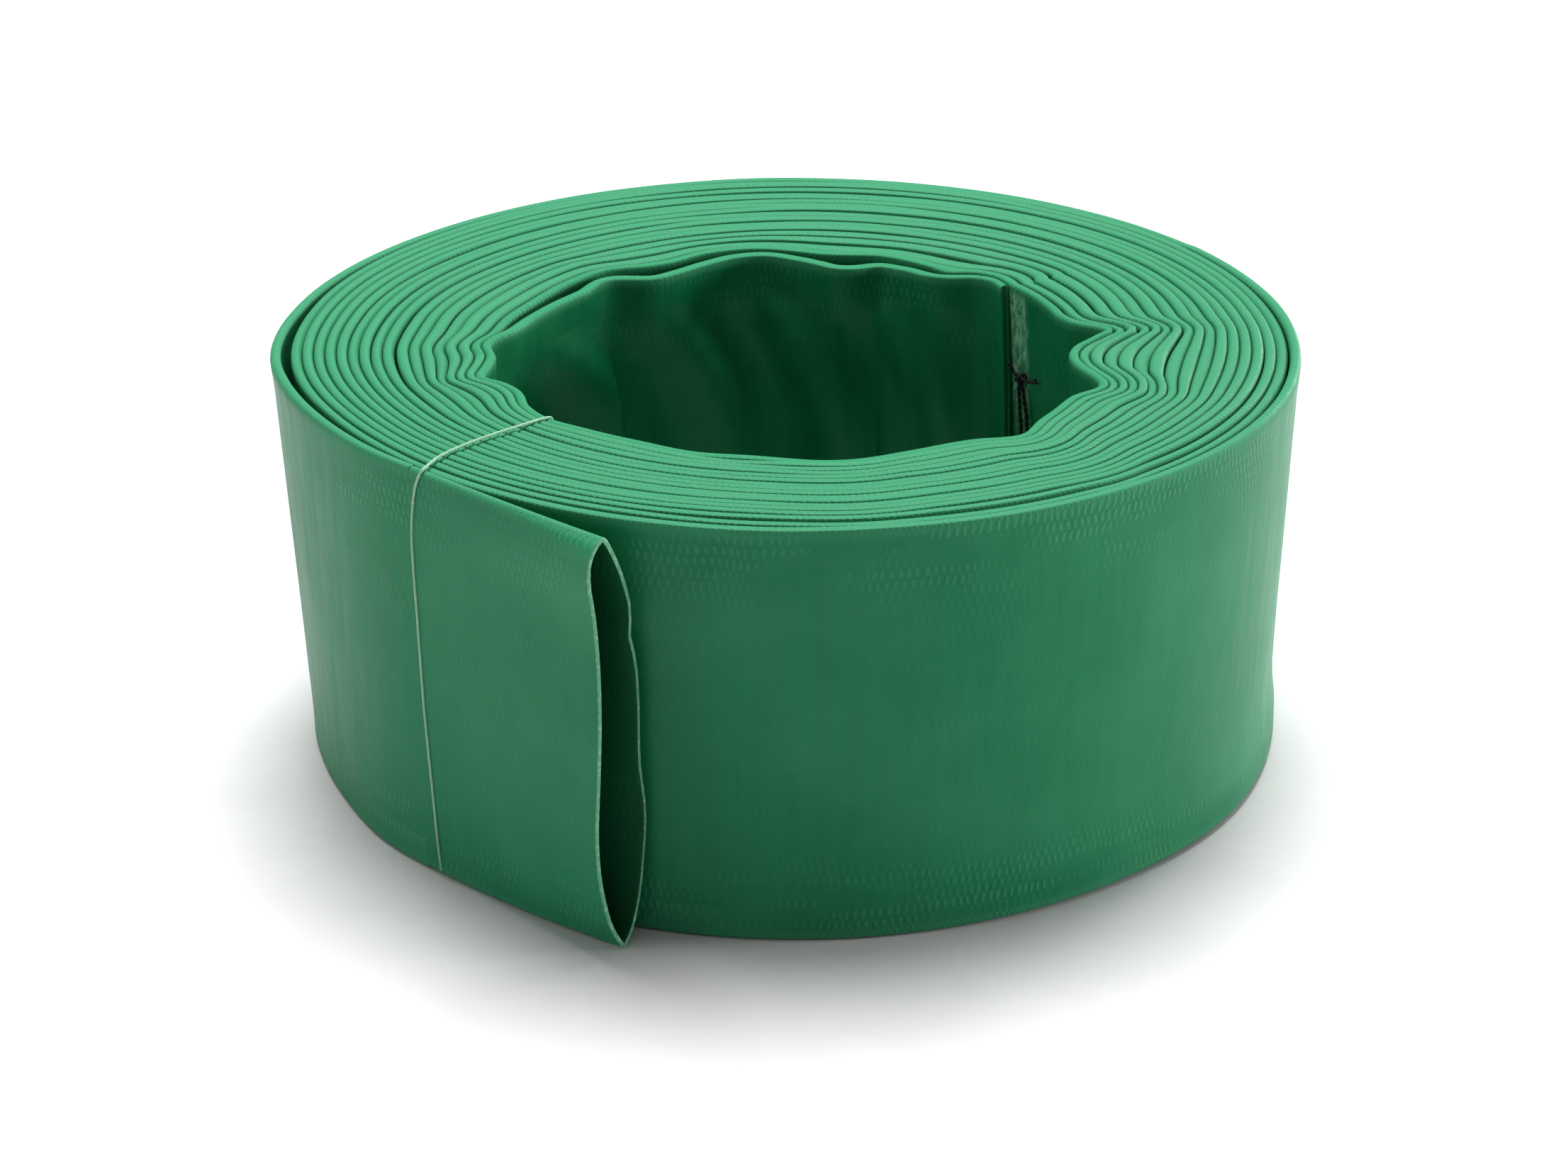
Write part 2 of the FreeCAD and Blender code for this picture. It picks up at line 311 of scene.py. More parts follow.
# The pale string: its route round the section of the roll, from the knot and back to it
STRING_DIAMETER = 0.58
STRING_STRANDS = 3
STRING_KNOT = (-1.0, -63.6, 20.0)
STRING_ROUTE = [
    (-1.0, -65.6, 20.5), (-1.0, -67.1, 48.0), (-0.9, -67.2, 76.0), (-0.8, -67.2, 83.2), (-0.6, -68.6, 84.0),
    (-0.1, -76.4, 84.6), (-0.3, -82.5, 84.65), (-0.5, -89.6, 84.65), (0.4, -96.9, 84.6), (2.3, -101.4, 84.5),
    (2.9, -103.3, 84.3), (0.8, -103.25, 80.5), (-0.7, -103.15, 73.0), (-0.9, -103.15, 66.0),
    (-0.3, -103.15, 52.0), (0.1, -103.15, 36.0), (1.6, -103.15, 16.0), (3.0, -103.3, 0.4), (1.6, -101.6, 0.4),
    (-0.6, -85.0, 0.5), (-1.0, -66.5, 0.4), (-1.0, -65.4, 3.0), (-1.0, -65.6, 19.5),
]
STRING_ENDS = [
    [(-1.0, -63.6, 20.0), (2.9, -62.0, 20.0), (4.5, -61.0, 15.6), (4.2, -61.4, 10.6)],
    [(-1.0, -63.6, 20.0), (-3.7, -62.5, 20.0), (-4.8, -61.8, 16.9), (-4.6, -62.1, 13.5)],
]

# The black tie at the inner cut edge
TIE_DIAMETER = 0.9
TIE_STRANDS = 2
TIE_KNOT = (19.0, 48.2, 64.8)
TIE_ROUTE = [
    (18.7, 48.2, 64.6), (19.2, 48.0, 58.0), (20.4, 47.6, 53.5), (19.6, 47.8, 36.0), (19.8, 47.6, 13.0),
    (22.8, 46.4, 12.6), (23.6, 46.2, 36.0), (22.8, 46.6, 55.0), (21.2, 47.4, 60.0), (19.2, 48.2, 64.6),
]
TIE_ENDS = [
    [(19.0, 48.2, 64.8), (17.8, 48.0, 65.2), (16.6, 48.2, 66.2), (15.9, 48.4, 67.2)],
    [(19.0, 48.2, 64.8), (20.7, 47.0, 65.5), (23.0, 46.4, 65.0), (25.6, 45.6, 66.4)],
]


def add_cord(name, route, body, node, material, diameter, strands):
    """A laid cord along a route, with the points of its line and its length."""
    points, parts = twisted_strands(route_points(route), diameter * MM, strands, LAY_LENGTH * diameter * MM,
                                    RING_SPACING * diameter * MM)
    cord = mesh_from_parts(name, parts, material)
    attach(cord, body)
    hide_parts(node)
    length = float(np.linalg.norm(np.diff(points, axis=0), axis=1).sum())
    print(f"{name}: {length * 1000:.1f} mm along its line")
    return cord, points, length


def add_cord_ends(name, routes, body, node, material, diameter, strands):
    """The short loose ends of a cord, as one object."""
    parts = []
    for route in routes:
        parts += twisted_strands(route_points(route), diameter * MM, strands, LAY_LENGTH * diameter * MM,
                                 RING_SPACING * diameter * MM, fray=FRAYED)[1]
    ends = mesh_from_parts(name, parts, material)
    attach(ends, body)
    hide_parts(node)
    return ends


def add_knot(name, centre, size, diameter, body, node, material):
    knot = mesh_from_parts(name, [overhand_knot(centre, size, diameter)], material)
    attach(knot, body)
    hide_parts(node)
    return knot


def add_pale_string(material):
    knot = add_knot("pale_string_knot", STRING_KNOT, 1.5, 0.85, "roll", "tie_string_knot",
                    material)
    ends = add_cord_ends("pale_string_ends", STRING_ENDS, "roll", "tie_string_ends", material,
                         STRING_DIAMETER, STRING_STRANDS)
    cord, points, length = add_cord("pale_string", STRING_ROUTE, "roll", "tie_string",
                                    material, STRING_DIAMETER, STRING_STRANDS)


def add_black_tie(material):
    knot = add_knot("black_tie_knot", TIE_KNOT, 1.25, 0.8, "inner_flap", "inner_tie_knot",
                    material)
    ends = add_cord_ends("black_tie_ends", TIE_ENDS, "inner_flap", "inner_tie_ends", material,
                         TIE_DIAMETER, TIE_STRANDS)
    cord, points, length = add_cord("black_tie_loop", TIE_ROUTE, "inner_flap", "inner_tie_loop",
                                    material, TIE_DIAMETER, TIE_STRANDS)


# --------------------------------------------------------------------------- shapes by formula

def smooth_curve(points, at):
    """A smooth curve through given (place, value) points, read at many places."""
    x, y = np.array([p[:2] for p in points], float).T
    slope = np.gradient(y, x)
    at = np.clip(at, x[0], x[-1])
    k = np.clip(np.searchsorted(x, at) - 1, 0, len(x) - 2)
    step = x[k + 1] - x[k]
    t = (at - x[k]) / step
    rising = t * t * (3 - 2 * t)
    return (y[k] * (1 - rising) + y[k + 1] * rising
            + step * t * (1 - t) * (slope[k] * (1 - t) - slope[k + 1] * t))


def smooth_step(low, high, value):
    t = np.clip((value - low) / (high - low), 0, 1)
    return t * t * (3 - 2 * t)


def window(angle, first, last):
    """1 in the middle of a range of angles, falling smoothly to 0 at both ends of it."""
    inside = np.clip((angle - first) / (last - first), 0, 1)
    return np.sin(np.pi * inside) ** 0.8


def around_turn(angle):
    """The same direction within the first turn, where the creases are given."""
    return FIRST_ANGLE + (angle - FIRST_ANGLE) % 360.0


def loose_turns(angle):
    """How far slack between the turns inside it moves each turn out, and the gap just outside it."""
    turn = (angle - FIRST_ANGLE) / 360.0
    gap = np.zeros_like(angle)
    spread = np.zeros_like(angle)
    for first, last, apart, open_part in SLACK:
        here = window(angle, first, last)
        spread += apart * here
        gap += open_part * here
    moved = np.zeros_like(angle)
    for k in range(1, int(TURNS) + 1):
        n = k * STATIONS_A_TURN
        still_to_go = np.clip(TURNS - turn[n:], 0, None) / np.maximum(TURNS - turn[:-n] - 1, 0.6)
        moved[n:] += spread[:-n] * np.clip(still_to_go, 0, 1)
    return moved, gap


def puffed(direction):
    """1 where the innermost turn stands free and its folded edges have room to spring open."""
    opening = smooth_step(PUFFED_FROM, PUFFED_FROM + 6, direction)
    return opening * smooth_step(APART_UNTIL + 6, APART_UNTIL - 4, direction)


def roll_radii(angle):
    """The radius of the hose's middle line all along the roll, and the gap outside it."""
    direction = around_turn(angle)
    turn = (angle - FIRST_ANGLE) / 360.0
    whole_turn = np.floor(turn + 1e-9)
    hole = smooth_curve(CALM_HOLE, direction)
    rim = smooth_curve(CALM_RIM, direction)
    calm = hole + (rim - hole) * turn / TURNS
    calm_first = hole + (rim - hole) * (direction - FIRST_ANGLE) / 360.0 / TURNS
    first = smooth_curve(HOLE_RIM, direction) + WALL + (PUFFED_FOLD - WALL) * puffed(direction)
    apart = smooth_step(APART_UNTIL + 8, APART_UNTIL - 4, direction)
    second = apart * (smooth_curve(SECOND_RIM, direction) + WALL) + (1 - apart) * (first + 2 * WALL)
    crease_second = second - calm_first - (rim - hole) / TURNS
    lasting = smooth_curve([(p[0], p[2]) for p in HOLE_RIM], direction)
    fading = np.exp(-((np.maximum(whole_turn - 1, 0) / lasting) ** 2.0))
    crease = np.where(whole_turn < 1, first - calm_first, crease_second * fading)
    moved, gap = loose_turns(angle)
    sprung = np.where(turn > TURNS - 1, smooth_curve(SPRUNG, direction), 0.0)
    return calm + crease + moved, gap, sprung


def settle_turns(radius):
    """Each turn lies on the one inside it, so it is never nearer than the hose is thick."""
    per_turn = STATIONS_A_TURN
    settled = radius.copy()
    for start in range(per_turn, len(radius), per_turn):
        stop = min(start + per_turn, len(radius))
        below = settled[start - per_turn:stop - per_turn]
        steepness = np.gradient(settled[:start], math.radians(STATION_STEP))
        slope = steepness[start - per_turn:stop - per_turn] / below
        resting = below + 2 * WALL * np.sqrt(1 + slope**2) + 0.02
        settled[start:stop] = np.maximum(settled[start:stop], resting)
        smooth = settled[start - 3:stop].copy()
        smooth[1:-1] = 0.2 * smooth[:-2] + 0.6 * smooth[1:-1] + 0.2 * smooth[2:]
        settled[start:stop] = smooth[3:]
    return settled


def gentle_waves(length, seed, longest):
    """A calm, irregular wave along a length, between -1 and 1."""
    total = np.zeros_like(length)
    for k in range(5):
        total += np.sin(length / longest * (1.0 + 0.83 * k) * 2 * np.pi + seed * (1.3 + k)) / (1 + 0.5 * k)
    return total / 2.6


class Roll:
    """The middle line of the rolled hose and everything known along it."""

    def __init__(self):
        self.angle = FIRST_ANGLE + np.arange(STATIONS + 1) * STATION_STEP
        radius, gap, sprung = roll_radii(self.angle)
        self.radius = settle_turns(radius) + sprung
        turn = np.radians(self.angle)
        self.place = np.stack([self.radius * np.cos(turn), self.radius * np.sin(turn)], axis=1)
        along = np.gradient(self.place, axis=0)
        along[-1] = (1.0, 0.0)
        along /= np.linalg.norm(along, axis=1)[:, None]
        self.outwards = np.stack([along[:, 1], -along[:, 0]], axis=1)
        steps = np.linalg.norm(np.diff(self.place, axis=0), axis=1)
        self.reach = np.concatenate([[0.0], np.cumsum(steps)])
        self.turn = (self.angle - FIRST_ANGLE) / 360.0
        self.direction = self.angle % 360.0
        gap[:-STATIONS_A_TURN] += sprung[STATIONS_A_TURN:]
        self.fold_outside, self.fold_inside = self.fold_rooms(gap)
        self.top, self.bottom = self.edge_heights()
        to_the_sides = np.cos(np.radians(self.angle - SQUASHED_DIRECTION)) ** 2
        self.squareness = (SQUARENESS + MORE_AT_THE_SIDES * to_the_sides
                           + SQUARENESS_WAVE * gentle_waves(self.reach, 2.3, 620.0))

    def fold_rooms(self, gap):
        """How far the folded edges bulge to each side: as far as the neighbouring turns let them."""
        slant = np.abs(np.sum(self.outwards * self.place, axis=1)) / self.radius
        n = STATIONS_A_TURN
        room = np.full(STATIONS + 1, FREE_ROOM)
        room[:-n] = (self.radius[n:] - self.radius[:-n]) * slant[:-n] - gap[:-n]
        half = np.clip(room * 0.5 * ROOM_FILLED, WALL, WIDEST_FOLD)
        outside = half.copy()
        inside = np.full(STATIONS + 1, BULGE_TO_HOLE)
        inside[n:] = half[:-n]
        free = puffed(around_turn(self.angle[:n]))
        outside[:n] = np.minimum(outside[:n], INNERMOST_BULGE) * (1 - free) + PUFFED_FOLD * free
        inside[:n] = inside[:n] * (1 - free) + PUFFED_FOLD * free
        inside[n:2 * n] = inside[n:2 * n] * (1 - free) + WALL * free
        at_string = smooth_step(TURNS - 0.03, TURNS, self.turn)
        return outside + (WALL - outside) * at_string, inside + (WALL - inside) * at_string

    def edge_heights(self):
        """The heights of the top and bottom edges: the turns aren't quite level with each other."""
        near_hole = np.exp(-self.turn / 1.3)
        top = FLAT_WIDTH + 0.05 - SLOW_WAVE * gentle_waves(self.reach, 1.7, 910.0)
        top -= DROOP_AT_HOLE * near_hole * (1 + gentle_waves(self.reach, 4.2, 83.0))
        top -= SHORT_WAVE * (1 + gentle_waves(self.reach, 0.4, 137.0))
        sunk = window(around_turn(self.angle), 265, 440) * (self.turn > 15.5) * (self.turn < 17)
        top -= SUNK_OUTER_TURN * sunk
        bottom = RAISED_FOOT + RAISED_FOOT * gentle_waves(self.reach, 3.1, 740.0)
        last = smooth_step(TURNS - 0.45, TURNS - 0.02, self.turn)
        return top * (1 - last) + FLAT_WIDTH * last, bottom * (1 - last)


# --------------------------------------------------------------------------- the hose's section

def wall_heights(rows):
    """Heights along one wall as shares between the two necks, closer together towards both."""
    t = np.linspace(0, 1, rows)
    return 0.5 - 0.5 * np.cos(np.pi * t) * (1 - 0.25 * np.sin(np.pi * t) ** 2)


def squared(value, squareness):
    """A sine or cosine pushed towards 1, which turns a round fold into a flat-topped one."""
    return np.sign(value) * np.abs(value) ** squareness


def section_columns(rows):
    """The section's outline, once round: side (1 outer, -1 inner), place and kind of each vertex.

    Kind 0 is a wall vertex at a share of the height between the necks, 1 a vertex of the top fold and 2
    one of the bottom fold, at an angle round the fold.
    """
    fold = np.linspace(0, np.pi, FOLD_POINTS)
    columns = [(1.0, share, 0) for share in wall_heights(rows)]
    columns += [(math.cos(angle), angle, 1) for angle in fold]
    columns += [(-1.0, share, 0) for share in wall_heights(rows)[::-1]]
    columns += [(-math.cos(angle), angle, 2) for angle in fold]
    return columns


def section_grid(roll, stations, rows, shape=None):
    """The hose's surface over some stations: vertices as [station, column, xyz] in millimetres."""
    columns = section_columns(rows)
    place, outwards = roll.place[stations], roll.outwards[stations]
    top, bottom, squareness = roll.top[stations], roll.bottom[stations], roll.squareness[stations]
    grid = np.zeros((len(stations), len(columns), 3))
    around = np.zeros(len(columns))
    for c, (side, spot, kind) in enumerate(columns):
        bulge = np.where(side >= 0, roll.fold_outside[stations], roll.fold_inside[stations])
        if kind == 0:
            height = bottom + NECK + (top - bottom - 2 * NECK) * spot
            offset = np.full(len(stations), side * WALL)
            up_the_wall = NECK + (FLAT_WIDTH - 2 * NECK) * spot
            around[c] = up_the_wall if side > 0 else 2 * FLAT_WIDTH - up_the_wall
        elif kind == 1:
            height = top - FOLD_HEIGHT * (1 - squared(math.sin(spot), squareness))
            offset = squared(side, squareness) * bulge
            around[c] = FLAT_WIDTH - FOLD_HEIGHT + 2 * FOLD_HEIGHT * spot / np.pi
        else:
            height = bottom + FOLD_HEIGHT * (1 - squared(math.sin(spot), squareness))
            offset = squared(side, squareness) * bulge
            around[c] = 2 * FLAT_WIDTH - FOLD_HEIGHT + 2 * FOLD_HEIGHT * spot / np.pi
        lean = smooth_curve(LEAN, roll.direction[stations]) * (roll.turn[stations] / TURNS) ** 3
        shift = -lean * (1 - height / FLAT_WIDTH)
        if shape is not None:
            shift = shift + shape(roll, stations, height, side)
        grid[:, c, :2] = place + outwards * (offset + shift)[:, None]
        grid[:, c, 2] = height
    return grid, around


def hole_wall_shape(roll, stations, height, _side):
    """The innermost turn below its rim: calmer than the rim, with slanted folds as in cloth."""
    direction = around_turn(roll.angle[stations])
    rim = smooth_curve(HOLE_RIM, direction)
    spread = np.linspace(-14, 14, 9)
    calm = np.mean([smooth_curve(HOLE_RIM, np.clip(direction + s, 76, 435)) for s in spread], axis=0)
    below = smooth_step(FLAT_WIDTH - 3.0, FLAT_WIDTH - 20.0, height)
    at_back = smooth_step(80, 100, direction) * smooth_step(238, 215, direction)
    first_turn = smooth_step(0.98, 0.90, roll.turn[stations])
    depth = FLAT_WIDTH - height
    slanted = direction + SLANT * depth * np.exp(-depth / 60.0)
    ripples = sum(tall * np.sin(np.radians(slanted * often + start)) for tall, often, start in RIPPLES)
    fading = np.exp(-((depth - 22.0) / 34.0) ** 2)
    slanted_folds = at_back * below * ((calm - rim) * 0.85 - 0.5 + ripples * fading)
    at_right = smooth_step(352, 366, direction) * smooth_step(434, 424, direction)
    upright_folds = at_right * below * 0.7 * np.sin(np.radians((direction + 0.2 * depth) * 14.0))
    return first_turn * (slanted_folds + upright_folds)


def slant_the_cut(roll, grid):
    """The inner end isn't cut square: its lower part reaches further round the hole."""
    fading = smooth_step(CUT_SLANT_FADES, 0.0, roll.reach[:len(grid)])
    further = CUT_SLANT * np.tanh((FLAT_WIDTH - grid[:, :, 2]) / CUT_SLANT_DEPTH) * fading[:, None]
    forward = np.stack([roll.outwards[:len(grid), 1], -roll.outwards[:len(grid), 0]], axis=1)
    grid[:, :, :2] += forward[:, None, :] * further[:, :, None]


def outer_wall_shape(roll, stations, height, side):
    """The outermost turn: a little uneven, with its lower edge turned out on the right."""
    if side < 0:
        return np.zeros(len(stations))
    fade = smooth_step(TURNS - 1.15, TURNS - 1.0, roll.turn[stations])
    fade = fade * smooth_step(TURNS, TURNS - 0.06, roll.turn[stations])
    reach = roll.reach[stations]
    uneven = 0.16 * gentle_waves(reach + 0.7 * height, 2.2, 190.0) + 0.10 * gentle_waves(
        reach - 0.4 * height, 5.1, 61.0)
    middle = np.clip(np.sin(np.pi * height / FLAT_WIDTH), 0, 1)
    direction = around_turn(roll.angle[stations])
    right = smooth_step(350, 375, direction) * smooth_step(435, 410, direction)
    turned_out = TURNED_OUT * right * np.exp(-((height - 4.0) / 7.0) ** 2)
    return fade * (uneven * middle + turned_out)


def build_surface(name, grid, lengths, around, material, closed=True, flip=False, normals=None):
    """An object from a grid of vertices in millimetres, with its UV map in metres along and around."""
    stations, columns, _ = grid.shape
    mesh = bpy.data.meshes.new(name)
    wraps = columns if closed else columns - 1
    k, c = np.meshgrid(np.arange(stations - 1), np.arange(wraps), indexing="ij")
    k, c = k.ravel(), c.ravel()
    following = (c + 1) % columns
    quad = np.stack([k * columns + c, (k + 1) * columns + c, (k + 1) * columns + following,
                     k * columns + following], axis=1)
    corner_k = np.stack([k, k + 1, k + 1, k], axis=1)
    corner_c = np.stack([c, c, c + 1, c + 1], axis=1)
    if flip:
        quad, corner_k, corner_c = quad[:, ::-1], corner_k[:, ::-1], corner_c[:, ::-1]
    mesh.from_pydata((grid.reshape(-1, 3) * MM).tolist(), [], quad.tolist())
    full_around = np.append(around, around[0] + 2 * FLAT_WIDTH)
    uv = mesh.uv_layers.new(name="length_and_round")
    flat = np.stack([lengths[corner_k], full_around[corner_c]], axis=2).reshape(-1) * MM
    uv.data.foreach_set("uv", flat)
    mesh.shade_smooth()
    if normals is not None:
        mesh.normals_split_custom_set_from_vertices(normals.reshape(-1, 3).tolist())
    mesh.materials.append(material)
    thing = bpy.data.objects.new(name, mesh)
    bpy.context.collection.objects.link(thing)
    return thing


def grid_normals(grid):
    """The outward directions of a closed surface's vertices, so that two pieces match where they meet."""
    along = np.gradient(grid, axis=0)
    round_it = np.roll(grid, -1, axis=1) - np.roll(grid, 1, axis=1)
    normals = np.cross(along, round_it)
    return normals / np.linalg.norm(normals, axis=2)[:, :, None]


def facing_columns(rows):
    """For each column of a section, the one straight across the hose."""
    outer = np.arange(rows)
    top = rows + np.arange(FOLD_POINTS)
    inner = top[-1] + 1 + np.arange(rows)
    bottom = inner[-1] + 1 + np.arange(FOLD_POINTS)
    return np.concatenate([inner[::-1], top[::-1], outer[::-1], bottom[::-1]])


def add_cut_face(roll, section, around, material):
    """The cut across the pressed hose: the thickness of its two walls and the closed bore between them."""
    middle = 0.5 * (section + section[facing_columns(FINE_ROWS)])
    forward = np.append((roll.place[0] - roll.place[1]) / np.linalg.norm(roll.place[0] - roll.place[1]), 0.0)
    rings = []
    for share, ahead in CUT_PROFILE:
        rings.append(middle + (section - middle) * share + forward * ahead)
    lengths = np.arange(len(rings)) * 0.4
    return build_surface("cut_face", np.stack(rings), lengths, around, material, flip=True)


def piece_stations():
    """The first and last station of each piece of the wound hose."""
    flap_stop = int(FLAP_SWEEP / STATION_STEP)
    inner_stop = int(FINE_START_TURNS * STATIONS_A_TURN)
    outer_start = STATIONS - int(FINE_END_TURNS * STATIONS_A_TURN)
    return {
        "hose_inner_end": (0, flap_stop),
        "hose_roll_inner": (flap_stop, inner_stop),
        "hose_roll_middle": (inner_stop, outer_start),
        "hose_roll_outer": (outer_start, STATIONS),
    }


def add_roll_pieces(roll, green, shaded_hole_green):
    """The wound hose: its innermost turn, the plain turns in the middle and the outermost one."""
    kinds = {
        # The innermost turns get the darker copy of the PVC: painted shade in the hole
        "hose_inner_end": (FINE_ROWS, hole_wall_shape, shaded_hole_green),
        "hose_roll_inner": (FINE_ROWS, hole_wall_shape, shaded_hole_green),
        "hose_roll_middle": (HIDDEN_ROWS, None, green),
        "hose_roll_outer": (FINE_ROWS, outer_wall_shape, green),
    }
    pieces = {}
    for name, (rows, shape, material) in kinds.items():
        first, last = piece_stations()[name]
        before, after = min(first, 1), min(STATIONS - last, 1)
        wider, around = section_grid(roll, np.arange(first - before, last + 1 + after), rows, shape)
        if first == 0:
            slant_the_cut(roll, wider)
        inside = slice(before, len(wider) - after)
        grid, normals = wider[inside], grid_normals(wider)[inside]
        lengths = roll.reach[first:last + 1]
        pieces[name] = build_surface(name, grid, lengths, around, material, normals=normals)
        if first == 0:
            pieces[name] = join([pieces[name], add_cut_face(roll, grid[0], around, material)])
    return pieces


# --------------------------------------------------------------------------- the tail

def tail_section_line(share_open, root_y):
    """The middle surface of the tail's wall, once round: heights and Y, near wall up and far wall down."""
    half = WALL / 2
    t = np.linspace(0, 1, TAIL_ROWS)
    height = half + (FLAT_WIDTH - WALL) * (0.5 - 0.5 * np.cos(np.pi * t))
    edge = np.minimum(height - half, FLAT_WIDTH - half - height) / half
    rounding = np.sqrt(np.clip(1 - (1 - np.clip(edge, 0, 1)) ** 2, 0, 1))
    flat_near = root_y - half * rounding
    flat_far = root_y + half * rounding
    tip = 0.5 * (smooth_curve(NEAR_LIP, height) + smooth_curve(FAR_LIP, height))
    near = np.minimum(smooth_curve(NEAR_LIP, height) + half, tip - LIPS_APART)
    far = np.maximum(smooth_curve(FAR_LIP, height) - half, tip + LIPS_APART)
    near = tip + (near - tip) * rounding
    far = tip + (far - tip) * rounding
    near = flat_near * (1 - share_open) + near * share_open
    far = flat_far * (1 - share_open) + far * share_open
    loop_y = np.concatenate([near, far[::-1][1:-1]])
    loop_z = np.concatenate([height, height[::-1][1:-1]])
    return loop_y, loop_z


def tail_surfaces(root_y):
    """The tail's outer and inner surface, as grids, from where the string holds it to its mouth."""
    x = np.concatenate([np.linspace(STRING_X - 0.3, TAIL_LENGTH - 0.6, 60), [TAIL_LENGTH - 0.2, TAIL_LENGTH]])
    share = np.clip((x - STRING_X) / (TAIL_LENGTH - STRING_X), 0, 1) ** 2
    loops = [tail_section_line(s, root_y) for s in share]
    middle = np.array([np.stack([np.full_like(y, xx), y, z], axis=1) for xx, (y, z) in zip(x, loops)])
    round_it = np.roll(middle, -1, axis=1) - np.roll(middle, 1, axis=1)
    along = np.gradient(middle, axis=0)
    normal = np.cross(along, round_it)
    normal /= np.linalg.norm(normal, axis=2)[:, :, None]
    return middle, normal, x


def add_tail(roll, outside, inside, cut):
    """The loose tail: an outer surface, an inner surface and the cut rim between them."""
    middle, normal, x = tail_surfaces(roll.place[-1, 1])
    half = WALL / 2
    lengths = roll.reach[-1] + (x - STRING_X)
    steps = np.linalg.norm(np.diff(middle[-1], axis=0), axis=1)
    around = np.concatenate([[0.0], np.cumsum(steps)]) * 2 * FLAT_WIDTH / steps.sum()
    outer = middle + normal * half
    inner = middle - normal * (half - 0.01)
    back = np.array([CUT_RIM_BEVEL, 0, 0])
    sideways = normal[-1] * CUT_RIM_BEVEL
    rim_sections = [outer[-1] - back, outer[-1] - sideways, inner[-1] + sideways, inner[-1] - back]
    outer[-1] = rim_sections[0]
    inner[-1] = rim_sections[-1]
    rim = np.stack(rim_sections)
    surfaces = [
        build_surface("hose_tail", outer, lengths, around, outside),
        build_surface("tail_inside", inner, lengths, around, inside, flip=True),
        build_surface("tail_rim", rim, lengths[-1] + np.arange(4) * 0.3, around, cut),
    ]
    return join(surfaces)


def join(objects):
    """Several objects made into the first one, each keeping its material."""
    bpy.ops.object.select_all(action="DESELECT")
    for thing in objects:
        thing.select_set(True)
    bpy.context.view_layer.objects.active = objects[0]
    bpy.ops.object.join()
    return objects[0]


# --------------------------------------------------------------------------- materials

class Shader:
    """Short ways to add nodes to one material."""

    def __init__(self, name):
        self.material = bpy.data.materials.new(name)
        self.material.use_nodes = True
        self.tree = self.material.node_tree
        self.tree.nodes.clear()

    def add(self, kind, values=None, **settings):
        """A node with its settings; values are sockets or plain values for its inputs."""
        node = self.tree.nodes.new(kind)
        for key, value in settings.items():
            setattr(node, key, value)
        for key, value in (values or {}).items():
            if isinstance(value, bpy.types.NodeSocket):
                self.tree.links.new(value, node.inputs[key])
            else:
                node.inputs[key].default_value = value
        return node

    def math(self, operation, a, b=0.0, clamp=False):
        return self.add("ShaderNodeMath", {0: a, 1: b}, operation=operation, use_clamp=clamp).outputs[0]

    def ramp(self, value, low, high, to_low=0.0, to_high=1.0):
        """A value's range turned into another one, smoothly and without going past its ends."""
        values = {"Value": value, "From Min": low, "From Max": high, "To Min": to_low, "To Max": to_high}
        return self.add("ShaderNodeMapRange", values, interpolation_type="SMOOTHSTEP").outputs[0]

    def noise(self, vector, scale, detail=3.0, roughness=0.55):
        values = {"Vector": vector, "Scale": scale, "Detail": detail, "Roughness": roughness}
        return self.add("ShaderNodeTexNoise", values).outputs[0]

    def stretched(self, vector, scale):
        return self.add("ShaderNodeVectorMath", {0: vector, 1: scale}, operation="MULTIPLY").outputs[0]

    def mix(self, share, a, b, blend_type="MIX"):
        values = {"Factor": share, "A": a, "B": b}
        node = self.tree.nodes.new("ShaderNodeMix")
        node.data_type = "RGBA"
        node.blend_type = blend_type
        sockets = {"Factor": node.inputs[0], "A": node.inputs[6], "B": node.inputs[7]}
        for key, value in values.items():
            if isinstance(value, bpy.types.NodeSocket):
                self.tree.links.new(value, sockets[key])
            else:
                sockets[key].default_value = value
        return node.outputs[2]

    def bump(self, height, strength, distance, normal=None):
        values = {"Height": height, "Strength": strength, "Distance": distance}
        if normal is not None:
            values["Normal"] = normal
        return self.add("ShaderNodeBump", values).outputs[0]

    def finish(self, colour, roughness, normal, **more):
        values = {"Base Color": colour, "Roughness": roughness, "Normal": normal, **more}
        shader = self.add("ShaderNodeBsdfPrincipled", values)
        output = self.add("ShaderNodeOutputMaterial")
        self.tree.links.new(shader.outputs[0], output.inputs[0])
        return self.material


def weave_height(shader, along, around, in_mm):
    """Woven yarn seen through the PVC: short bars across the hose, shifted a little from row to row."""
    wander = shader.noise(shader.stretched(in_mm, (0.09, 0.10, 1.0)), 1.0, 2.0)
    rows = shader.math("DIVIDE", shader.math("ADD", around, shader.math("MULTIPLY", wander, 1.5)), 2.4)
    shifted = shader.math("MULTIPLY", shader.math("FLOOR", rows), 0.43)
    place = shader.math("ADD", along, shader.math("MULTIPLY", wander, 3.0))
    phase = shader.math("ADD", shader.math("DIVIDE", place, 1.5), shifted)
    wave = shader.math("SINE", shader.math("MULTIPLY", phase, 2 * math.pi))
    bars = shader.ramp(wave, -0.5, 0.9)
    within = shader.math("SINE", shader.math("MULTIPLY", shader.math("FRACT", rows), math.pi))
    return shader.math("MULTIPLY", bars, shader.ramp(within, 0.05, 0.8))


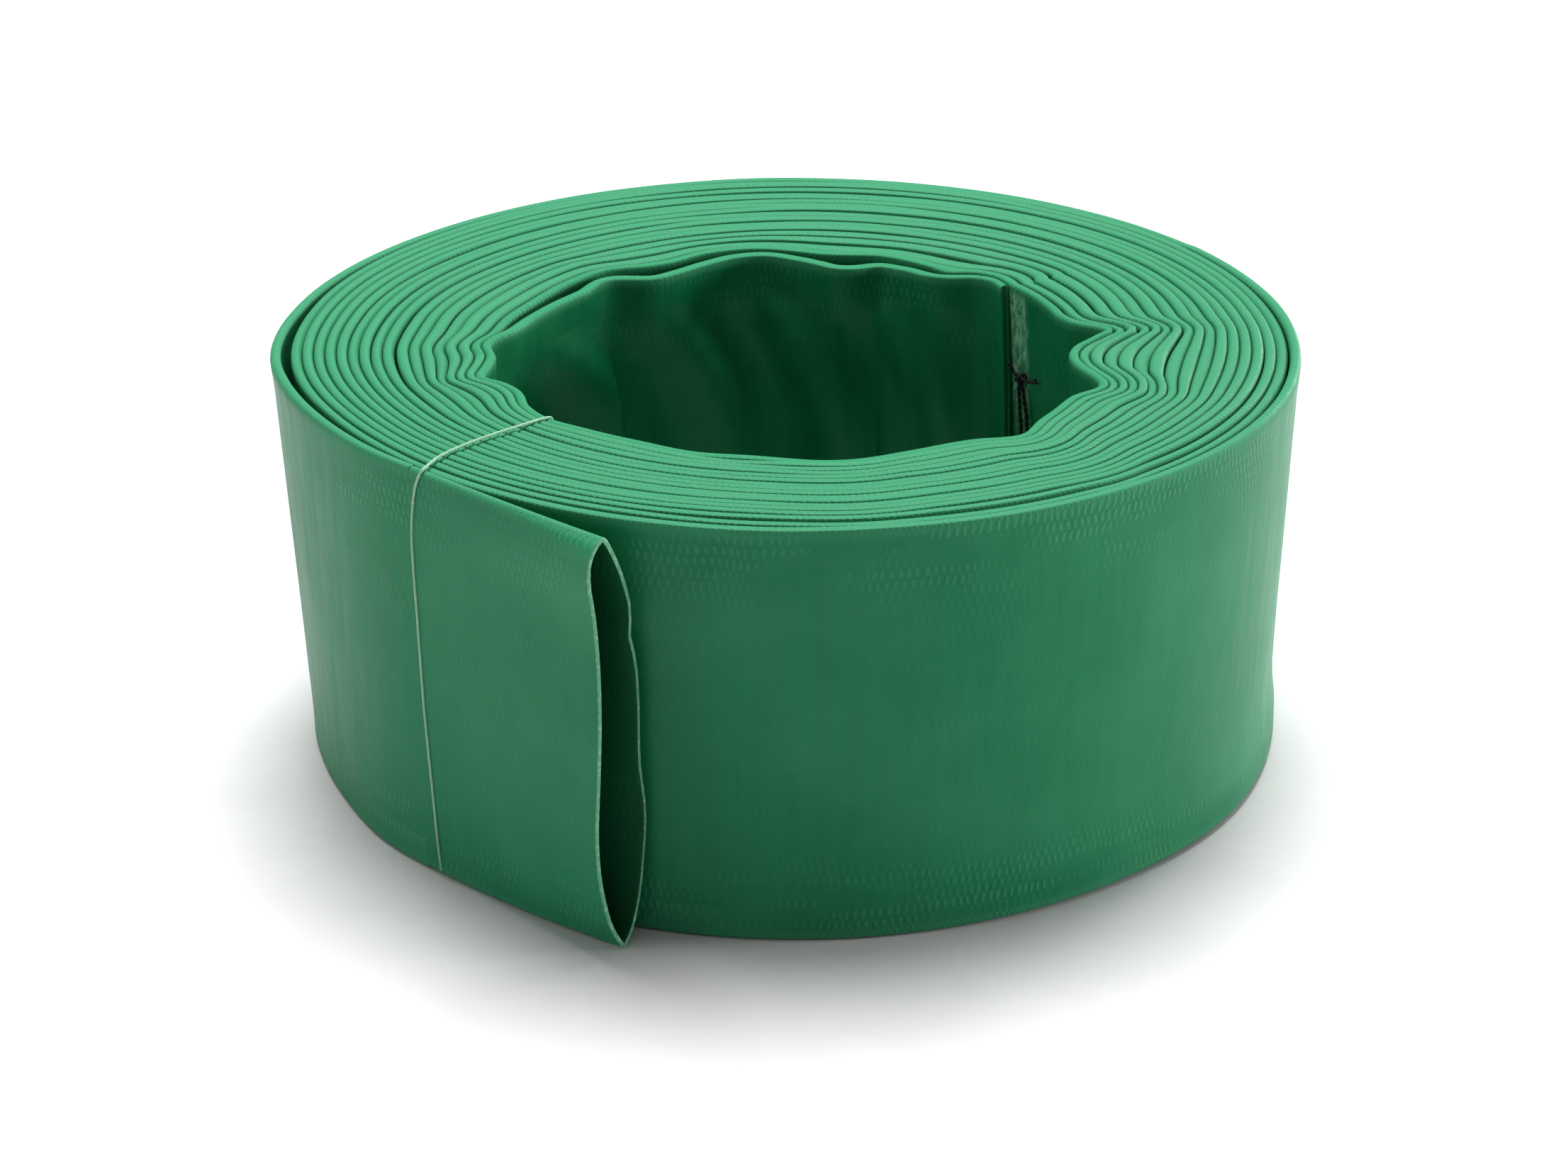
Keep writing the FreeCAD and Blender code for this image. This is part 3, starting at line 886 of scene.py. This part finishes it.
def cross_hatch(shader, along, around):
    """The fine mesh of the yarns where the hose is stretched over its folded edges."""
    one = shader.math("SINE", shader.math("MULTIPLY", shader.math("ADD", along, around), 2 * math.pi / 1.1))
    other = shader.math("SINE", shader.math("MULTIPLY", shader.math("SUBTRACT", along, around),
                                            2 * math.pi / 1.1))
    return shader.math("MULTIPLY", shader.math("ADD", one, other), 0.5)


def hose_coordinates(shader):
    """Millimetres along the hose and round it, and both together as a vector."""
    uv = shader.add("ShaderNodeUVMap", uv_map="length_and_round").outputs[0]
    in_mm = shader.stretched(uv, (1000.0, 1000.0, 0.0))
    split = shader.add("ShaderNodeSeparateXYZ", {0: in_mm})
    return split.outputs[0], split.outputs[1], in_mm


def distance_to_fold(shader, around):
    """How far a spot is from the nearer folded edge, in millimetres round the hose."""
    shifted = shader.math("ADD", around, 2 * FLAT_WIDTH)
    share = shader.math("MODULO", shifted, FLAT_WIDTH)
    return shader.math("SUBTRACT", FLAT_WIDTH / 2, shader.math("ABSOLUTE", shader.math(
        "SUBTRACT", share, FLAT_WIDTH / 2)))


def pvc_material(name, colours, weave_strength=1.0, gloss=0.13, worn_and_sheen_at=None):
    """Soft green PVC over a woven jacket."""
    base, deep, pale, fold = colours
    s = Shader(name)
    along, around, in_mm = hose_coordinates(s)
    weave = weave_height(s, along, around, in_mm)
    hatch = cross_hatch(s, along, around)
    streaks = s.noise(s.stretched(in_mm, (0.35, 0.03, 1.0)), 1.0, 4.0)
    blotches = s.noise(s.stretched(in_mm, (0.018, 0.022, 1.0)), 1.0, 3.0)
    grain = s.noise(in_mm, 2.2, 3.0, 0.7)
    patches = s.ramp(s.noise(s.stretched(in_mm, (0.04, 0.13, 1.0)), 1.0, 3.0), 0.44, 0.62)
    from_fold = distance_to_fold(s, around)
    near_fold = s.ramp(from_fold, 22.0, 4.0)
    on_fold = s.ramp(from_fold, 2.6, 0.8)
    colour = s.mix(s.ramp(streaks, 0.25, 0.75, 0.35, 0.75), deep, base)
    colour = s.mix(s.ramp(blotches, 0.40, 0.75, 0.0, 0.25), colour, pale)
    shows = s.math("MULTIPLY", patches, s.math("ADD", s.math("MULTIPLY", near_fold, 0.85), 0.15))
    woven = s.math("MULTIPLY", shows, s.ramp(weave, 0.1, 0.9, 0.0, 0.29))
    colour = s.mix(s.math("MULTIPLY", woven, weave_strength), colour, pale)
    # The folded edges are lightened towards the fold colour, unevenly with the grain: a painted highlight
    fold_painted_highlight = s.math("MULTIPLY", on_fold, s.ramp(grain, 0.25, 0.75, 0.75, 1.0))
    colour = s.mix(fold_painted_highlight, colour, fold)
    glints = s.math("MULTIPLY", on_fold, s.ramp(hatch, 0.2, 0.9, 0.0, 0.22))
    colour = s.mix(glints, colour, pale)
    scuffs = s.ramp(s.noise(s.stretched(in_mm, (0.12, 0.9, 1.0)), 1.0, 6.0, 0.7), 0.66, 0.74, 0.0, 0.30)
    colour = s.mix(scuffs, colour, pale)
    if worn_and_sheen_at is not None:
        # Beside the cut end the wall is paler: partly wear, partly a painted sheen
        colour = s.mix(worn_and_sheen_stripe(s, along, around, in_mm, worn_and_sheen_at), colour, WORN_AND_SHEEN_GREEN)
    yarn = s.math("MULTIPLY", s.math("ADD", shows, 0.06), weave)
    height = s.math("ADD", yarn, s.math("MULTIPLY", grain, 0.2))
    height = s.math("ADD", height, s.math("MULTIPLY", s.math("MULTIPLY", on_fold, hatch), 0.3))
    normal = s.bump(height, 0.6 * weave_strength, 0.00014)
    uneven = s.noise(s.stretched(in_mm, (0.10, 0.05, 1.0)), 1.0, 2.0)
    normal = s.bump(uneven, 0.22, 0.0008, normal)
    roughness = s.ramp(s.math("ADD", s.math("MULTIPLY", streaks, 0.6), s.math("MULTIPLY", grain, 0.4)),
                       0.3, 0.7, 0.34, 0.50)
    roughness = s.math("ADD", roughness, s.math("MULTIPLY", on_fold, 0.2))
    return s.finish(colour, roughness, normal, **{"Specular IOR Level": gloss})


def worn_and_sheen_stripe(shader, along, around, in_mm, centre):
    """A whitish stripe up the upper part of the hole's side of the hose, beside the cut edge: partly wear
    where the cut edge has rubbed on it, partly a painted sheen where the wall catches the light.
    """
    depth = shader.math("SUBTRACT", around, FLAT_WIDTH)
    slanted = shader.math("ADD", along, shader.math("MULTIPLY", 0.11, depth))
    aside = shader.math("ABSOLUTE", shader.math("SUBTRACT", slanted, centre))
    stripe = shader.ramp(aside, 4.4, 2.4)
    upper = shader.ramp(around, FLAT_WIDTH + 36.0, FLAT_WIDTH + 20.0)
    hole_side = shader.ramp(around, FLAT_WIDTH + 0.5, FLAT_WIDTH + 3.0)
    marks = shader.noise(shader.stretched(in_mm, (0.9, 0.35, 1.0)), 1.0, 5.0, 0.7)
    wear_and_sheen = shader.math("MULTIPLY", hole_side, shader.ramp(marks, 0.38, 0.62, 0.1, 0.9))
    return shader.math("MULTIPLY", shader.math("MULTIPLY", stripe, upper), wear_and_sheen)


def cut_rim_material():
    """The cut through the wall: paler PVC with the ends of white yarns in it."""
    s = Shader("cut_rim")
    in_mm = hose_coordinates(s)[-1]
    yarns = s.noise(s.stretched(in_mm, (2.0, 0.9, 1.0)), 1.0, 3.0)
    speckle = s.ramp(yarns, 0.50, 0.62, 0.0, 0.6)
    colour = s.mix(speckle, CUT_GREEN, YARN_ENDS)
    return s.finish(colour, 0.6, s.bump(yarns, 0.5, 0.0002))


def cord_material(name, colour, shade, roughness, fuzz=0.25):
    """Twisted yarn: a colour with a darker shade between its fibres."""
    s = Shader(name)
    spot = s.add("ShaderNodeTexCoord").outputs["Object"]
    fibres = s.noise(spot, 4200.0, 3.0, 0.6)
    dirt = s.noise(spot, 240.0, 2.0)
    mixed = s.mix(s.ramp(fibres, 0.35, 0.65), shade, colour)
    mixed = s.mix(s.ramp(dirt, 0.5, 0.8, 0.0, 0.35), mixed, shade)
    return s.finish(mixed, roughness, s.bump(fibres, 0.5, 0.0001),
                    **{"Sheen Weight": fuzz, "Specular IOR Level": 0.2})


# --------------------------------------------------------------------------- floor and light

def add_floor():
    """A plain pale floor, a hair below the hose so that the two surfaces never coincide."""
    s = Shader("floor")
    spot = s.add("ShaderNodeTexCoord").outputs["Object"]
    mottled = s.noise(spot, 30.0, 4.0)
    colour = s.mix(s.ramp(mottled, 0.4, 0.6), (0.60, 0.60, 0.60, 1), (0.62, 0.62, 0.62, 1))
    material = s.finish(colour, 0.7, s.bump(mottled, 0.05, 0.001))
    half, below = 6.0, -0.0002
    mesh = bpy.data.meshes.new("floor")
    corners = [(-half, -half, below), (half, -half, below), (half, half, below), (-half, half, below)]
    mesh.from_pydata(corners, [], [(0, 1, 2, 3)])
    mesh.materials.append(material)
    floor = bpy.data.objects.new("floor", mesh)
    bpy.context.collection.objects.link(floor)


def add_area_light(name, place, size, watts, target=(0, 0, 0.04)):
    """A round soft light that faces the middle of the roll."""
    data = bpy.data.lights.new(name, "AREA")
    data.shape = "DISK"
    data.size = size
    data.energy = watts
    light = bpy.data.objects.new(name, data)
    light.location = place
    facing = Vector(target) - Vector(place)
    light.rotation_euler = facing.to_track_quat("-Z", "Y").to_euler()
    bpy.context.collection.objects.link(light)


def add_world(sides, zenith):
    """Pale light from all round, of one strength at the horizon and another overhead."""
    world = bpy.data.worlds.new("studio")
    world.use_nodes = True
    tree = world.node_tree
    tree.nodes.clear()
    spot = tree.nodes.new("ShaderNodeTexCoord")
    split = tree.nodes.new("ShaderNodeSeparateXYZ")
    ramp = tree.nodes.new("ShaderNodeMapRange")
    background = tree.nodes.new("ShaderNodeBackground")
    output = tree.nodes.new("ShaderNodeOutputWorld")
    tree.links.new(spot.outputs["Generated"], split.inputs[0])
    tree.links.new(split.outputs[2], ramp.inputs["Value"])
    ramp.inputs["From Min"].default_value = 0.0
    ramp.inputs["From Max"].default_value = 0.9
    ramp.inputs["To Min"].default_value = sides
    ramp.inputs["To Max"].default_value = zenith
    tree.links.new(ramp.outputs[0], background.inputs["Strength"])
    tree.links.new(background.outputs[0], output.inputs[0])
    bpy.context.scene.world = world


def set_colour_view():
    view = bpy.context.scene.view_settings
    view.view_transform = "Standard"
    view.look = "None"
    view.exposure = 0.0


# --------------------------------------------------------------------------- the whole scene

def add_hose():
    """Every piece of the hose, with what the wound turns ride on and what the hose replaces."""
    roll = Roll()
    # Where the paler stripe beside the cut end lies: partly wear, partly a painted sheen
    stripe_beside_cut = roll.reach[np.searchsorted(roll.angle, FIRST_ANGLE + 360.0 - 4.2)]
    green = pvc_material("green_pvc", GREEN)
    # The tail's inside gets a darker copy of the PVC: painted shade in the bore
    liner = pvc_material("shaded_green_liner", LINER_GREEN_SHADED, weave_strength=1.4, gloss=0.1)
    cut_rim = cut_rim_material()
    # The hole's wall gets the darker copy of the PVC: painted shade
    shaded_hole_green = pvc_material("green_pvc_shaded_in_hole", HOLE_GREEN_SHADED, gloss=0.07, worn_and_sheen_at=float(stripe_beside_cut))
    pieces = add_roll_pieces(roll, green, shaded_hole_green)
    pieces["hose_tail"] = add_tail(roll, green, liner, cut_rim)
    for name in ("hose_roll_inner", "hose_roll_middle", "hose_roll_outer"):
        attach(pieces[name], "roll")
    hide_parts("roll_cover", "roll_yarn", "roll_liner")
    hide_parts("tail_cover", "tail_yarn", "tail_liner")
    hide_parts("inner_flap_cover", "inner_flap_yarn", "inner_flap_liner")
    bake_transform(pieces["hose_tail"])
    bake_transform(pieces["hose_inner_end"])
    for name, piece in pieces.items():
        flat_size(roll, name)
    return pieces


def flat_size(roll, name):
    """A stretch of hose as a sheet: pressed flat if it is long, cut open and laid out if it is short."""
    if name == "hose_tail":
        length = TAIL_LENGTH - STRING_X
    else:
        first, last = piece_stations()[name]
        length = float(roll.reach[last] - roll.reach[first])
    print(f"{name}: {length:.0f} mm of hose")
    width = FLAT_WIDTH if length > LONG_STRETCH else 2 * FLAT_WIDTH
    return width * MM, length * MM


def add_lights():
    """A broad light overhead and behind, and small ones low down at the sides."""
    add_world(0.32, 0.36)
    add_area_light("overhead", (-0.62, 0.68, 2.7), 2.0, 178.0)
    add_area_light("left", (-1.15, -1.95, 0.4), 0.9, 13.0)
    add_area_light("right", (1.6, 1.6, 0.28), 0.7, 42.0)
    add_area_light("right_back", (-0.2, 2.5, 0.28), 0.7, 36.0)


add_camera()
add_pale_string(cord_material("pale_string", (0.36, 0.58, 0.42, 1), (0.20, 0.40, 0.26, 1), 0.8))
add_black_tie(cord_material("black_cord", (0.007, 0.007, 0.007, 1), (0.003, 0.003, 0.003, 1), 0.7, fuzz=0.0))
add_hose()
add_floor()
add_lights()
set_colour_view()
